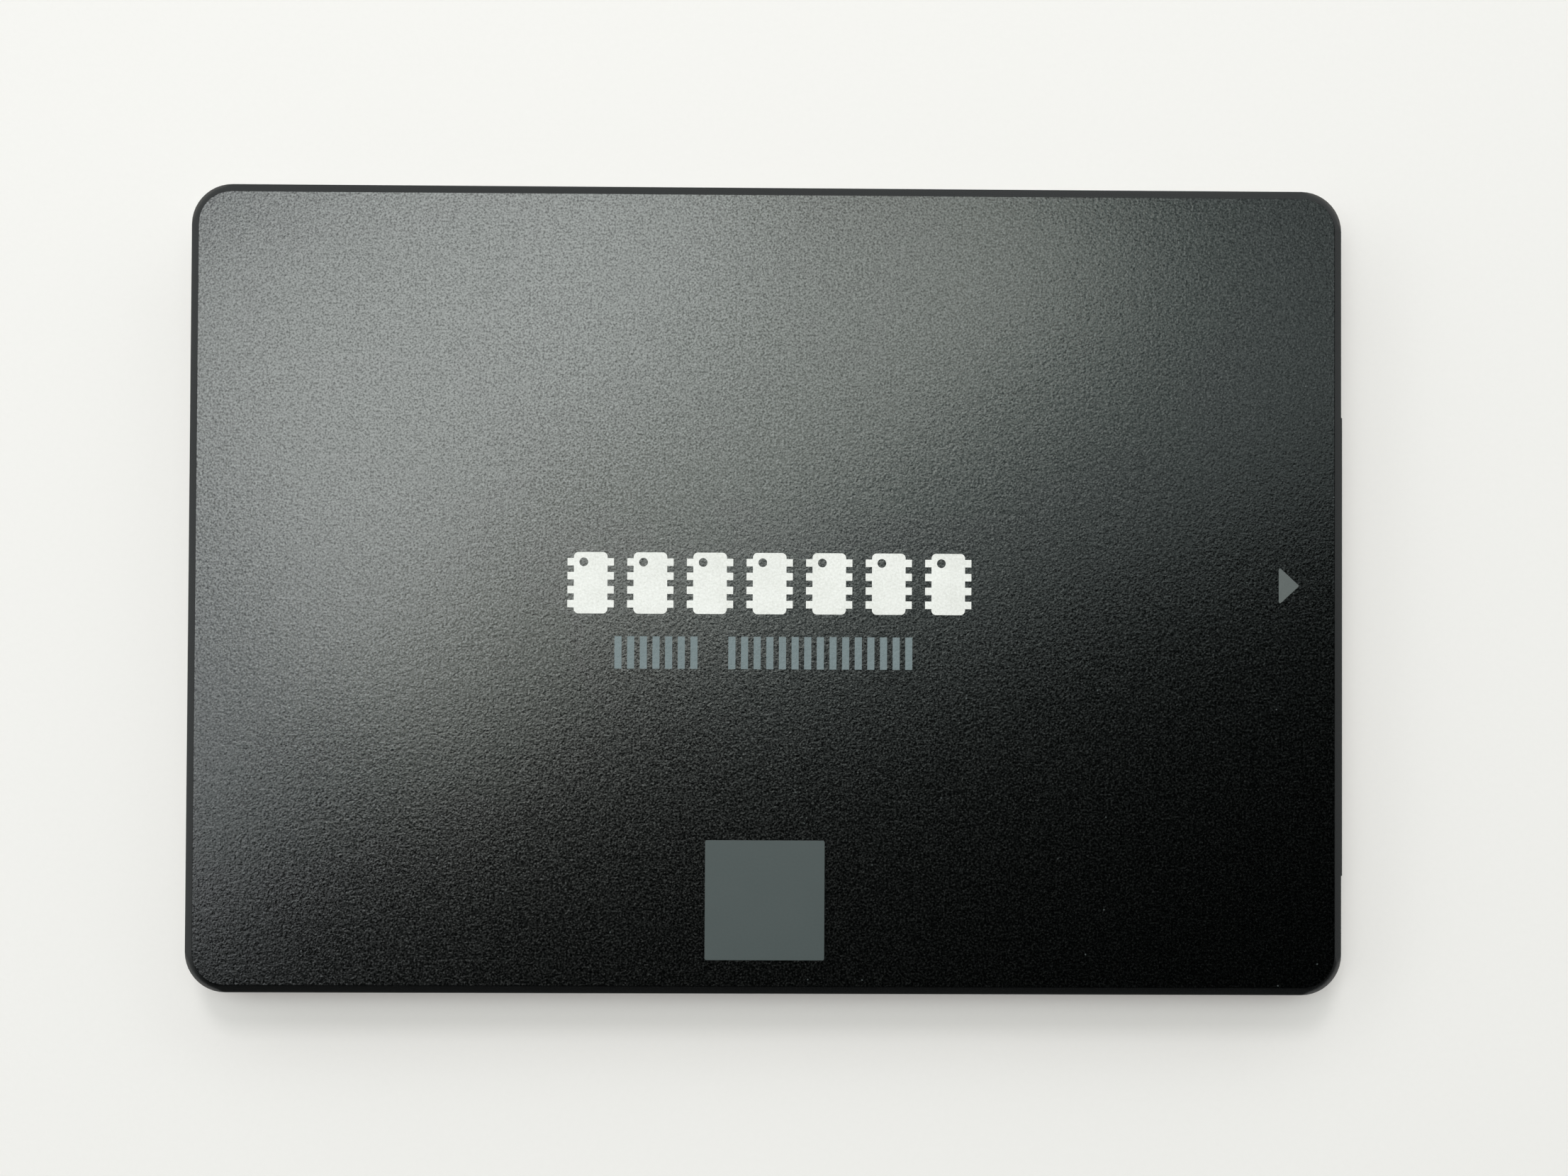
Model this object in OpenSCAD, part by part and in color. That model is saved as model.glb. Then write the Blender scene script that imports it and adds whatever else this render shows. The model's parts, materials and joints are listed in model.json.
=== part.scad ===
// Solid state drive, 2.5 inch form: a two-part aluminium case with a 22-contact plug.
// Origin at the middle of the underside. +X runs to the plug end, +Z up through the printed face.
// Sizes are in millimetres.

/* [Case] */
// Length over the lip above the plug
overall_l = 100; // [95:0.05:105]
// Width across the long sides
case_w = 69.85; // [66:0.05:74]
// Height from the underside to the top of the print
overall_h = 6.8; // [6.8:0.1:9.5]
// Corner radius seen from above
corner_r = 3.5; // [2.5:0.1:5]
// Height of the middle of the joint between tray and cover
seam_z = 5; // [4.9:0.05:5.2]
// Gap left all round at that joint
seam_gap = 0.1; // [0.04:0.02:0.2]
// Width of the cover's edge chamfer seen from above
chamfer_w = 0.7; // [0.3:0.05:1.2]
// Height of the cover's edge chamfer
chamfer_h = 0.5; // [0.2:0.05:0.8]
// Chamfer round the tray's underside
foot_chamfer = 0.35; // [0.1:0.05:0.6]
// How far the lip over the plug stands out of the end
lip_out = 0.1; // [0.02:0.02:0.3]
// Thickness of the tray's floor
floor_t = 1; // [0.8:0.05:1.3]
// Thickness of the cover's plate
plate_t = 0.9; // [0.6:0.05:1]
// Thickness of the tray's wall
wall_t = 1.2; // [1:0.05:1.6]
// Thickness of the cover's skirt outside the lap
skirt_t = 0.55; // [0.4:0.05:0.7]
// Clearance between the skirt and the tray's inner lap
lap_gap = 0.05; // [0.03:0.01:0.1]

/* [Mounting holes] */
// Bore of the M3 mounting holes
mount_r = 1.5; // [1.2:0.05:1.6]
// From the plug end to the first pair
mount_first = 14; // [13:0.05:15]
// Between the two pairs
mount_pitch_x = 76.6; // [70:0.05:80]
// Between the two rows in the underside
mount_pitch_y = 61.72; // [58:0.02:64]
// Depth of the holes in the underside
mount_depth = 3; // [2:0.1:3.4]
// Height of the holes in the long sides
side_hole_z = 3; // [2.9:0.05:3.2]
// Depth of the holes in the long sides
side_hole_depth = 2.3; // [1.8:0.1:2.4]

/* [Case screws] */
// Distance of the front two screws from the middle, along the case
front_screw_x = 37.5; // [36:0.1:38]
// Distance of the front two screws from the middle, across the case
front_screw_y = 23.6; // [23:0.1:24]
// Place of the rear screw along the case
rear_screw_x = -44; // [-45:0.1:-40]
// Shank radius
screw_r = 0.8; // [0.7:0.05:0.85]
// Head radius
screw_head_r = 1.6; // [1.3:0.05:1.65]
// Head height
screw_head_h = 0.6; // [0.4:0.05:0.65]

/* [Circuit board] */
// Edge of the board away from the plug
board_x0 = 12; // [-20:0.5:12]
// Edge of the board under the plug
board_x1 = 43.2; // [43:0.05:43.25]
// Half width of the board's wide part
board_half_w = 32.4; // [30:0.1:33]
// Underside of the board above the case's underside
board_z = 2.2; // [2:0.05:2.3]
// Thickness of the board
board_t = 1; // [0.8:0.1:1.05]

/* [Plug] */
// Middle of the plug across the case
plug_y = -4.7; // [-5:0.05:-4.4]
// Width of the plug's housing
plug_w = 39.6; // [39:0.1:40]
// Middle height of the two tongues
tongue_z = 3.5; // [3.4:0.05:3.6]
// Thickness of the two tongues
tongue_t = 1.2; // [1.1:0.05:1.3]
// Length over both tongues
tongue_span = 33.43; // [33.3:0.01:33.6]
// Gap between the two tongues
tongue_notch = 2.41; // [2.3:0.01:2.5]
// Length of the data tongue
data_tongue = 10.41; // [10.3:0.01:10.5]
// Contact spacing
pitch = 1.27; // [1.25:0.01:1.29]
// Contact width
contact_w = 0.84; // [0.7:0.02:0.9]

/* [Print on the cover] */
// Thickness of the printed marks
ink_t = 0.03; // [0.02:0.01:0.05]
// Side of the square mark
square_mark_w = 10.3; // [9:0.1:12]
// Length of the row of chip pictograms
emblem_l = 34.9; // [30:0.1:40]
// Height of the row of chip pictograms
emblem_w = 5.3; // [4:0.1:7]
// Length of the row of contact marks
row_mark_l = 26.2; // [22:0.1:30]
// Height of the row of contact marks
row_mark_w = 2.8; // [2:0.1:4]

/* [Hidden] */
$fn = 64;
eps = 0.01;
plug_end = overall_l / 2;
case_x0 = -overall_l / 2;
case_x1 = plug_end - lip_out;
case_l = case_x1 - case_x0;
case_cx = (case_x0 + case_x1) / 2;
half_w = case_w / 2;
cover_top = overall_h - ink_t;
plate_z = cover_top - plate_t;
tray_top = seam_z - seam_gap / 2;
skirt_z = seam_z + seam_gap / 2;
lap_in = skirt_t + lap_gap;
lap_top = plate_z - 0.22;
mount_xs = [plug_end - mount_first, plug_end - mount_first - mount_pitch_x];
lug_half = 4;
lug_in = 27.4;
board_top = board_z + board_t;
board_step_x = 31.6;
board_step_y = 27.1;
screws = [
    [front_screw_x, front_screw_y],
    [front_screw_x, -front_screw_y],
    [rear_screw_x, 0]
];
screw_clear_r = screw_r + 0.1;
screw_thread_r = screw_r + 0.02;
screw_seat_z = 0.85;
boss_r = 2.4;
cover_boss_r = 2.2;
rear_boss_top = 3.9;
peg_xy = [[42, plug_y + 18.6], [42, plug_y - 18.6]];

// Label in the underside
label_l = 89;
label_w = 55;
label_cx = -2;
label_recess = 0.15;
label_t = 0.1;

// Plug
opening_y0 = plug_y - 20;
opening_y1 = plug_y + 20;
opening_x = 44.4;
tongue_tip = 49.55;
plug_wall_x0 = 43.3;
plug_wall_x1 = 44.9;
plug_y0 = plug_y - plug_w / 2;
plug_y1 = plug_y + plug_w / 2;
tongue_y1 = plug_y + tongue_span / 2;
tongue_y0 = plug_y - tongue_span / 2;
data_y0 = tongue_y1 - data_tongue;
power_y1 = data_y0 - tongue_notch;
tongue_z0 = tongue_z - tongue_t / 2;
tongue_z1 = tongue_z + tongue_t / 2;
leg_t = 1.15;
leg_z = 1.15;
s1_y = plug_y + 25 * pitch / 2;
s7_y = s1_y - 6 * pitch;
p1_y = s7_y - 5 * pitch;
contact_z0 = tongue_z0 - 0.06;
contact_t = 0.2;
tail_z = board_top + 0.02;
tail_t = 0.18;
tail_x = 41.3;

// Print: places of the marks on the cover
square_mark_at = [-0.1, -26.8];
emblem_at = [0.2, 0.5];
row_mark_at = [-0.3, -5.5];
arrow_at = [44.33, 0.53];
arrow_h = 3.04;
arrow_d = 1.74;
arrow_r = 0.1;

// Chips on the board: centre x, y, size x, y
flash_at = [[19.5, -18.4], [19.5, 0], [19.5, 18.4]];
flash_size = [12, 17.6, 1];
flash_ball_h = 0.25;
controller_at = [33.3, -2];
controller_size = [13, 13, 0.6];
controller_ball_h = 0.3;
lid_size = [10.4, 10.4, 0.5];
dram_at = [32.1, 12.7];
dram_size = [9.6, 13, 0.9];
inductor_at = [[29.2, -13], [33.8, -13], [38.4, -13]];
inductor_size = [3.8, 3.8, 1.6];
power_chip_at = [29.8, -19.6];
bulk_capacitor_at = [[29.2, -25.2], [15, -30], [20, -30], [25, -30]];
bulk_capacitor_size = [3.5, 2.8, 1.5];
controller_land_z = 5.27;
flash_land_z = 5.37;

// ---- shared shapes ----

module rounded_rect(l, w, r) {
    square([l - 2 * r, w], center = true);
    square([l, w - 2 * r], center = true);
    for (x = [-1, 1], y = [-1, 1])
        translate([x * (l / 2 - r), y * (w / 2 - r)])
            circle(r);
}

// A rounded slab from z = 0 to h with a chamfer cw wide and ch high round its top
module chamfered_slab(l, w, r, h, cw, ch) {
    along = [
        [-w / 2, 0], [w / 2, 0], [w / 2, h - ch],
        [w / 2 - cw, h], [-w / 2 + cw, h], [-w / 2, h - ch]
    ];
    across = [
        [-l / 2, 0], [l / 2, 0], [l / 2, h - ch],
        [l / 2 - cw, h], [-l / 2 + cw, h], [-l / 2, h - ch]
    ];
    corner = [[0, 0], [r, 0], [r, h - ch], [r - cw, h], [0, h]];
    translate([r - l / 2, 0, 0])
        rotate([90, 0, 90])
            linear_extrude(l - 2 * r)
                polygon(along);
    translate([0, w / 2 - r, 0])
        rotate([90, 0, 0])
            linear_extrude(w - 2 * r)
                polygon(across);
    for (x = [-1, 1], y = [-1, 1])
        translate([x * (l / 2 - r), y * (w / 2 - r), 0])
            rotate_extrude()
                polygon(corner);
}

// The case's outline moved in by d, from z0 to z1
module case_block(d, z0, z1) {
    translate([case_cx, 0, z0])
        linear_extrude(z1 - z0)
            rounded_rect(case_l - 2 * d, case_w - 2 * d, corner_r - d);
}

// A box from corner to corner
module span(a, b) {
    translate(a)
        cube(b - a);
}

// A box standing on z, centred in x and y
module chip(at, z, size) {
    translate([at[0] - size[0] / 2, at[1] - size[1] / 2, z])
        cube(size);
}

// ---- case ----

module tray_shell() {
    difference() {
        union() {
            translate([case_cx, 0, tray_top])
                mirror([0, 0, 1])
                    chamfered_slab(case_l, case_w, corner_r, tray_top, foot_chamfer, foot_chamfer);
            case_block(lap_in, tray_top - 0.5, lap_top);
        }
        case_block(wall_t, floor_t, overall_h);
    }
}

module tray_lugs() {
    for (x = mount_xs, s = [-1, 1])
        translate([x - lug_half, s > 0 ? lug_in : -half_w + 0.8, floor_t - 0.1])
            cube([2 * lug_half, half_w - 0.8 - lug_in, tray_top - floor_t + 0.1]);
}

module tray_bosses() {
    for (s = [-1, 1])
        translate([front_screw_x, s * front_screw_y, floor_t - 0.1])
            cylinder(r = boss_r, h = board_z - floor_t + 0.1);
    translate([rear_screw_x, 0, floor_t - 0.1])
        cylinder(r = boss_r, h = rear_boss_top - floor_t + 0.1);
    for (p = [[14, -25], [14, 0], [14, 25], [41.2, 0], [28.5, -29], [28.5, 29]])
        translate([p[0], p[1], floor_t - 0.1])
            cylinder(r = 1.1, h = board_z - floor_t + 0.1);
}

module tray_ribs() {
    for (y = [-22, -8, 8, 22])
        span([-37, y - 0.4, floor_t - 0.1], [8, y + 0.4, floor_t + 0.5]);
    for (x = [-37, -14.5, 8])
        span([x - 0.4, -22, floor_t - 0.1], [x + 0.4, 22, floor_t + 0.5]);
}

module mounting_holes() {
    for (x = mount_xs, s = [-1, 1]) {
        translate([x, s * mount_pitch_y / 2, -1])
            cylinder(r = mount_r, h = mount_depth + 1);
        translate([x, s * (half_w + 1), side_hole_z])
            rotate([s * 90, 0, 0])
                cylinder(r = mount_r, h = side_hole_depth + 1);
    }
}

module bottom_case() {
    color([0.07, 0.07, 0.075])
        difference() {
            union() {
                tray_shell();
                tray_lugs();
                tray_bosses();
                tray_ribs();
            }
            translate([label_cx, 0, -1])
                linear_extrude(1 + label_recess)
                    rounded_rect(label_l + 0.6, label_w + 0.6, 1.8);
            span([opening_x, opening_y0, -1], [plug_end + 1, opening_y1, overall_h]);
            mounting_holes();
            for (p = screws)
                translate([p[0], p[1], -1]) {
                    cylinder(r = screw_clear_r, h = overall_h);
                    cylinder(r = screw_head_r + 0.1, h = screw_seat_z + 1);
                }
        }
}

module cover_shell() {
    difference() {
        translate([case_cx, 0, skirt_z])
            chamfered_slab(case_l, case_w, corner_r, cover_top - skirt_z, chamfer_w, chamfer_h);
        case_block(skirt_t, skirt_z - 1, plate_z);
    }
}

// The lip carries the plate and its chamfer a little further out over the plug
module cover_lip() {
    slope = chamfer_h / chamfer_w;
    edge_z = cover_top - chamfer_h;
    translate([0, opening_y1 - 0.1, 0])
        rotate([90, 0, 0])
            linear_extrude(opening_y1 - opening_y0 - 0.2)
                polygon([
                    [case_x1 - skirt_t, plate_z], [plug_end, plate_z],
                    [plug_end, edge_z - lip_out * slope], [case_x1, edge_z],
                    [case_x1 - skirt_t, edge_z]
                ]);
}

module top_cover() {
    color([0.07, 0.07, 0.075])
        difference() {
            union() {
                cover_shell();
                cover_lip();
                for (s = [-1, 1])
                    translate([front_screw_x, s * front_screw_y, board_top + 0.05])
                        cylinder(r = cover_boss_r, h = plate_z - board_top);
                translate([rear_screw_x, 0, rear_boss_top + 0.05])
                    cylinder(r = cover_boss_r, h = plate_z - rear_boss_top);
                chip(controller_at, controller_land_z, [12.4, 12.4, plate_z - controller_land_z + 0.1]);
                span([14, -26.6, flash_land_z], [25, 26.6, plate_z + 0.1]);
                for (y = [-24, -12, 12, 24])
                    span([-40, y - 0.4, plate_z - 0.5], [9, y + 0.4, plate_z + 0.1]);
            }
            // the skirt is left out over the plug, so a socket can slide over the tongues
            span([case_x1 - wall_t, opening_y0, skirt_z - 1], [plug_end + 1, opening_y1, plate_z]);
            for (p = screws)
                translate([p[0], p[1], 1])
                    cylinder(r = screw_thread_r, h = plate_z - 0.3 - 1);
        }
}

// ---- screws ----

module case_screw(at, tip_z) {
    head_z = screw_seat_z - screw_head_h;
    color([0.42, 0.42, 0.44])
        translate([at[0], at[1], 0])
            difference() {
                union() {
                    translate([0, 0, head_z])
                        cylinder(r = screw_head_r, h = screw_head_h);
                    translate([0, 0, screw_seat_z - eps])
                        cylinder(r = screw_r, h = tip_z - screw_seat_z);
                }
                // five-lobed recess in the head
                translate([0, 0, head_z - 1])
                    linear_extrude(1.35) {
                        circle(0.42);
                        for (i = [0:4])
                            rotate(i * 72)
                                translate([0.42, 0])
                                    circle(0.2);
                    }
            }
}

module case_screw_front_left() {
    case_screw(screws[0], 5.2);
}

module case_screw_front_right() {
    case_screw(screws[1], 5.2);
}

module case_screw_rear() {
    case_screw(screws[2], 5.2);
}

// ---- label ----

module rating_label() {
    color([0.12, 0.12, 0.13])
        translate([label_cx, 0, label_recess - label_t])
            linear_extrude(label_t)
                rounded_rect(label_l, label_w, 1.5);
}

// Plain bars, a bar code and a block of squares, with no lettering
module label_print() {
    bar_steps = [0, 1, 3, 4, 6, 9, 10, 12, 15, 16, 18, 19, 22, 24, 25, 27, 30, 31, 33, 34,
                 36, 39, 41, 42, 45, 46, 48, 51, 52, 54, 55, 57, 60, 61, 63, 66];
    z = label_recess - label_t - 0.02;
    color([0.75, 0.76, 0.77]) {
        for (i = [0:len(bar_steps) - 1])
            span([-38 + bar_steps[i] * 0.42, -22, z], [-37.76 + bar_steps[i] * 0.42, -16, z + 0.02]);
        for (i = [0:6])
            span([-38, -10 + i * 3.2, z], [-10 - (i % 3) * 5, -9 + i * 3.2, z + 0.02]);
        span([-38, 15, z], [0, 20, z + 0.02]);
        for (i = [0:9], j = [0:9])
            if ((7 * i * i + 5 * j * j * j + 3 * i * j + i) % 13 < 7)
                span([22 + i * 1.1, -21 + j * 1.1, z], [23 + i * 1.1, -20 + j * 1.1, z + 0.02]);
        for (i = [0:3])
            span([12, 2 + i * 4.2, z], [36 - i * 3, 3.4 + i * 4.2, z + 0.02]);
    }
}

// ---- print on the cover ----

// Row of seven pictograms of a chip, each with four pins a side and a corner dot
module emblem_mark() {
    body = 2.9;
    pin = 0.55;
    pitch = (emblem_l - body - 2 * pin) / 6;
    color([0.92, 0.92, 0.9])
        translate([emblem_at[0], emblem_at[1], cover_top])
            linear_extrude(ink_t)
                for (i = [-3:3])
                    translate([i * pitch, 0])
                        difference() {
                            union() {
                                rounded_rect(body, emblem_w, 0.4);
                                for (k = [-1.5:1.5])
                                    translate([0, k * emblem_w / 4.4])
                                        square([body + 2 * pin, emblem_w / 8.2], center = true);
                            }
                            translate([-body / 2 + 0.85, emblem_w / 2 - 0.85])
                                circle(0.38, $fn = 24);
                        }
}

// Two rows of contact marks, seven and fifteen, as on the plug
module contact_row_mark() {
    step = row_mark_l / 24;
    color([0.5, 0.55, 0.56])
        translate([row_mark_at[0], row_mark_at[1], cover_top])
            for (i = [0:23])
                if (i != 7 && i != 8)
                    translate([-row_mark_l / 2 + (i + 0.22) * step, -row_mark_w / 2, 0])
                        cube([0.56 * step, row_mark_w, ink_t]);
}

module square_mark() {
    color([0.33, 0.36, 0.36])
        translate([square_mark_at[0], square_mark_at[1], cover_top])
            linear_extrude(ink_t)
                rounded_rect(square_mark_w, square_mark_w, 0.15);
}

module arrow_mark() {
    color([0.4, 0.42, 0.42])
        translate([arrow_at[0], arrow_at[1], cover_top])
            linear_extrude(ink_t)
                polygon([
                    [0, arrow_r - arrow_h / 2], [arrow_r, -arrow_h / 2], [2 * arrow_r, -arrow_h / 2 + 0.06],
                    [arrow_d - 0.02, -arrow_r / 2], [arrow_d, 0], [arrow_d - 0.02, arrow_r / 2],
                    [2 * arrow_r, arrow_h / 2 - 0.06], [arrow_r, arrow_h / 2], [0, arrow_h / 2 - arrow_r]
                ]);
}

// ---- board ----

module circuit_board() {
    color([0.05, 0.3, 0.16])
        difference() {
            union() {
                span([board_x0, -board_half_w, board_z], [board_step_x, board_half_w, board_top]);
                span([board_step_x - 1, -board_step_y, board_z], [board_x1, board_step_y, board_top]);
            }
            for (s = [-1, 1])
                translate([front_screw_x, s * front_screw_y, board_z - 1])
                    cylinder(r = screw_clear_r + 0.1, h = board_t + 2);
            for (p = peg_xy)
                translate([p[0], p[1], board_z - 1])
                    cylinder(r = 0.65, h = board_t + 2);
        }
}

// One flat contact along the underside of a tongue, up through the wall and back over the board
module contact(y, tip_x, grow = 0) {
    w = contact_w / 2 + grow;
    g = grow;
    span([43.98 - g, y - w, contact_z0 - g], [tip_x + g, y + w, contact_z0 + contact_t + g]);
    span([43.8 - g, y - w, contact_z0 - g], [44 + g, y + w, tail_z + tail_t + g]);
    span([tail_x - g, y - w, tail_z - g], [44 + g, y + w, tail_z + tail_t + g]);
}

// Ground and pre-charge contacts reach further forward, so they meet first
function signal_tip(i) = i % 3 == 0 ? 49.3 : 48.8;
function power_tip(i) = (i == 3 || i == 11) ? 49.3 : (i == 2 || i == 4 || i == 5 || i == 6 ? 49 : 48.8);

module all_contacts(grow = 0) {
    for (i = [0:6])
        contact(s1_y - i * pitch, signal_tip(i), grow);
    for (i = [0:14])
        contact(p1_y - i * pitch, power_tip(i), grow);
}

module signal_contacts() {
    color([0.85, 0.65, 0.3])
        for (i = [0:6])
            contact(s1_y - i * pitch, signal_tip(i));
}

module power_contacts() {
    color([0.85, 0.65, 0.3])
        for (i = [0:14])
            contact(p1_y - i * pitch, power_tip(i));
}

// A tongue with its tip chamfered above and below
module tongue(y0, y1) {
    translate([0, y1, 0])
        rotate([90, 0, 0])
            linear_extrude(y1 - y0)
                polygon([
                    [plug_wall_x1 - 0.2, tongue_z0], [tongue_tip - 0.3, tongue_z0],
                    [tongue_tip, tongue_z0 + 0.3], [tongue_tip, tongue_z1 - 0.3],
                    [tongue_tip - 0.3, tongue_z1], [plug_wall_x1 - 0.2, tongue_z1]
                ]);
}

// End arms with a lead-in on their inner corner; s is +1 or -1
module guide_arm(s) {
    outer = plug_w / 2;
    inner = outer - 1.9;
    translate([0, plug_y, 0.35])
        linear_extrude(plate_z - 0.12 - 0.35)
            polygon([
                [plug_wall_x1 - 0.2, s * inner], [49.1, s * inner], [49.8, s * (inner + 0.6)],
                [49.8, s * outer], [plug_wall_x1 - 0.2, s * outer]
            ]);
}

module plug_housing() {
    color([0.05, 0.05, 0.05])
        difference() {
            union() {
                span([plug_wall_x0, plug_y0, floor_t + 0.05], [plug_wall_x1, plug_y1, plate_z - 0.12]);
                span([opening_x + 0.1, plug_y0, 0.35], [plug_wall_x1, plug_y1, floor_t + 0.2]);
                tongue(data_y0, tongue_y1);
                tongue(tongue_y0, power_y1);
                span([plug_wall_x1 - 0.2, data_y0, leg_z], [tongue_tip - 0.2, data_y0 + leg_t, tongue_z]);
                span([plug_wall_x1 - 0.2, power_y1 - leg_t, leg_z], [tongue_tip - 0.2, power_y1, tongue_z]);
                guide_arm(1);
                guide_arm(-1);
                for (s = [-1, 1])
                    translate([0, plug_y + s * (plug_w / 2 - 1.1), 0])
                        span([40.7, -1.1, board_top + 0.05], [plug_wall_x0 + 0.1, 1.1, 5]);
                for (p = peg_xy)
                    translate([p[0], p[1], board_z + 0.1])
                        cylinder(r = 0.6, h = board_t + 0.4);
            }
            all_contacts(0.01);
        }
}

module board_locks() {
    color([0.75, 0.75, 0.77])
        for (s = [-1, 1])
            translate([0, plug_y, 0])
                for (b = [[0.02, 0.27, 4.4], [0.02, 1.3, board_top + 0.22]])
                    span(
                        [41, min(s * (plug_w / 2 + b[0]), s * (plug_w / 2 + b[1])), board_top + 0.02],
                        [42.8, max(s * (plug_w / 2 + b[0]), s * (plug_w / 2 + b[1])), b[2]]
                    );
}

// ---- chips ----

module ball_grid(at, nx, ny, step, h) {
    for (i = [0:nx - 1], j = [0:ny - 1])
        translate([at[0] + (i - (nx - 1) / 2) * step, at[1] + (j - (ny - 1) / 2) * step, board_top])
            cylinder(r = 0.22, h = h, $fn = 24);
}

module controller_package() {
    color([0.06, 0.2, 0.12])
        chip(controller_at, board_top + controller_ball_h, controller_size);
}

module controller_lid() {
    color([0.7, 0.7, 0.72])
        chip(controller_at, board_top + controller_ball_h + controller_size[2], lid_size);
}

module controller_solder_balls() {
    color([0.7, 0.7, 0.7])
        ball_grid(controller_at, 9, 9, 1.3, controller_ball_h);
}

module dram_package() {
    color([0.04, 0.04, 0.045])
        chip(dram_at, board_top + 0.25, dram_size);
}

module dram_solder_balls() {
    color([0.7, 0.7, 0.7])
        for (s = [-1, 1])
            ball_grid([dram_at[0] + s * 2.8, dram_at[1]], 3, 10, 1.1, 0.25);
}

module flash_package(i) {
    color([0.04, 0.04, 0.045])
        chip(flash_at[i], board_top + flash_ball_h, flash_size);
}

module flash_package_1() {
    flash_package(0);
}

module flash_package_2() {
    flash_package(1);
}

module flash_package_3() {
    flash_package(2);
}

module flash_solder_balls() {
    color([0.7, 0.7, 0.7])
        for (p = flash_at, s = [-1, 1])
            ball_grid([p[0], p[1] + s * 5], 8, 3, 1.3, flash_ball_h);
}

module power_chip() {
    color([0.04, 0.04, 0.045])
        chip(power_chip_at, board_top + 0.02, [5, 5, 0.85]);
}

module inductor(i) {
    at = inductor_at[i];
    color([0.25, 0.25, 0.26]) {
        chip(at, board_top + 0.02, inductor_size);
        translate([at[0], at[1], board_top + inductor_size[2]])
            cylinder(r = 1.5, h = 0.12);
    }
}

module power_inductor_1() {
    inductor(0);
}

module power_inductor_2() {
    inductor(1);
}

module power_inductor_3() {
    inductor(2);
}

module crystal_oscillator() {
    color([0.75, 0.73, 0.68])
        chip([39.2, 8.4], board_top + 0.02, [2.5, 3.2, 0.8]);
}

module voltage_regulator() {
    color([0.05, 0.05, 0.055])
        chip([35, -17.9], board_top + 0.02, [3, 3, 0.9]);
}

module input_fuse() {
    color([0.1, 0.25, 0.18])
        chip([39.2, -17.6], board_top + 0.02, [3.2, 1.6, 0.7]);
}

module temperature_sensor() {
    color([0.05, 0.05, 0.055])
        chip([28, 24.4], board_top + 0.02, [2, 2, 0.75]);
}

module surge_diode() {
    color([0.05, 0.05, 0.055])
        chip([39, 13.4], board_top + 0.02, [2.5, 1, 0.6]);
}

module bulk_capacitors() {
    color([0.75, 0.6, 0.25])
        for (p = bulk_capacitor_at)
            chip(p, board_top + 0.02, bulk_capacitor_size);
}

module ceramic_capacitors() {
    size = [1, 0.5, 0.5];
    color([0.55, 0.42, 0.28]) {
        for (i = [0:5])
            chip([27.6 + i * 2.1, -9.6], board_top + 0.02, size);
        for (i = [0:4])
            chip([28.2 + i * 1.9, 5.4], board_top + 0.02, size);
        for (i = [0:4])
            chip([28.2 + i * 1.9, 20], board_top + 0.02, size);
        for (i = [0:3], s = [-1, 1])
            chip([15.4 + i * 2.6, s * 9.2], board_top + 0.02, [1, 0.3, 0.3]);
        for (i = [0:6])
            chip([14 + i * 2.2, 29.6], board_top + 0.02, size);
    }
}

module chip_resistors() {
    size = [0.5, 1, 0.35];
    color([0.07, 0.07, 0.08]) {
        for (i = [0:5])
            chip([40.6, -8.2 + i * 1.6], board_top + 0.02, [0.5, 1, 0.35]);
        for (i = [0:4])
            chip([39.6, 17 + i * 0.9], board_top + 0.02, [1, 0.5, 0.35]);
        for (i = [0:3])
            chip([31.2 + i * 1.1, 22.8], board_top + 0.02, size);
        for (i = [0:3])
            chip([33.6, -26 + i * 1.5], board_top + 0.02, size);
    }
}

// ---- pads and test points ----

module controller_thermal_pad() {
    z = board_top + controller_ball_h + controller_size[2] + lid_size[2];
    color([0.45, 0.55, 0.62])
        chip(controller_at, z, [10, 10, controller_land_z - z]);
}

module flash_thermal_pad() {
    z = board_top + flash_ball_h + flash_size[2];
    color([0.45, 0.55, 0.62])
        span([14.3, -26.2, z], [24.7, 26.2, flash_land_z]);
}

module test_points() {
    color([0.85, 0.65, 0.3])
        for (i = [0:7], j = [0:1])
            translate([18 + i * 2, -12 + j * 24, board_z - 0.03])
                cylinder(r = 0.5, h = 0.03, $fn = 24);
}

bottom_case();
top_cover();
case_screw_front_left();
case_screw_front_right();
case_screw_rear();
rating_label();
label_print();
emblem_mark();
contact_row_mark();
square_mark();
arrow_mark();
circuit_board();
plug_housing();
signal_contacts();
power_contacts();
board_locks();
controller_package();
controller_lid();
controller_solder_balls();
dram_package();
dram_solder_balls();
flash_package_1();
flash_package_2();
flash_package_3();
flash_solder_balls();
power_chip();
power_inductor_1();
power_inductor_2();
power_inductor_3();
crystal_oscillator();
voltage_regulator();
input_fuse();
temperature_sensor();
surge_diode();
bulk_capacitors();
ceramic_capacitors();
chip_resistors();
controller_thermal_pad();
flash_thermal_pad();
test_points();
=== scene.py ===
import json
import math

import bmesh
import bpy
from mathutils import Matrix, Vector


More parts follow.
